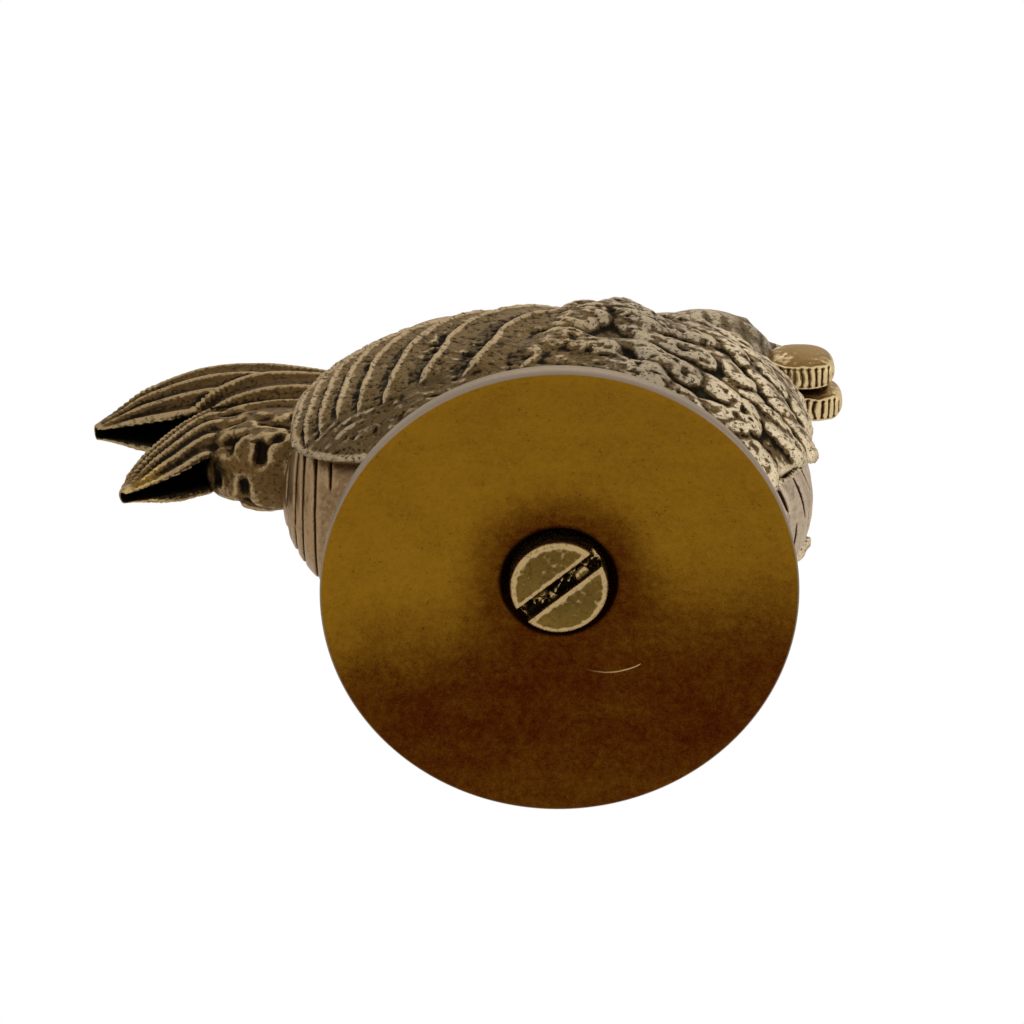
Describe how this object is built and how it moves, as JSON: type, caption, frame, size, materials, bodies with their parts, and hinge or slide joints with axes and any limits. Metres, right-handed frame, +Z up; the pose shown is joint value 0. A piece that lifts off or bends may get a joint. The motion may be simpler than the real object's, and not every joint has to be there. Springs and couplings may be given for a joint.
{
  "type": "toothpick holder",
  "caption": "Cast brass bird on a round turned foot, hollow, with a round mouth in its back that holds toothpicks upright.",
  "frame": {"origin": "on the table, under the middle of the bounding box; the foot's axis stands 8.9 mm ahead of it", "axes": "+X towards the bird's beak, +Y towards its left side, +Z up along the foot's axis"},
  "size_m": [0.0871, 0.048, 0.0779],
  "materials": {
    "turned_foot": "turned, aged golden brown with a worn bright rim",
    "screw": "machined, scuffed",
    "boss": "as machined, tarnished",
    "body": "cast and filed, dull satin",
    "cape": "cast, worn pale on the feather tips",
    "wings": "cast ribs, brown patina in the grooves",
    "tail": "cast, golden with worn bright edges"
  },
  "bodies": {
    "root": {"foot_disc": "turned_foot", "foot_screw": "screw", "screw_boss": "boss", "body_vessel": "body", "head_and_cape": "cape", "wing_right": "wings", "wing_left": "wings", "tail": "tail"}
  },
  "joints": []
}
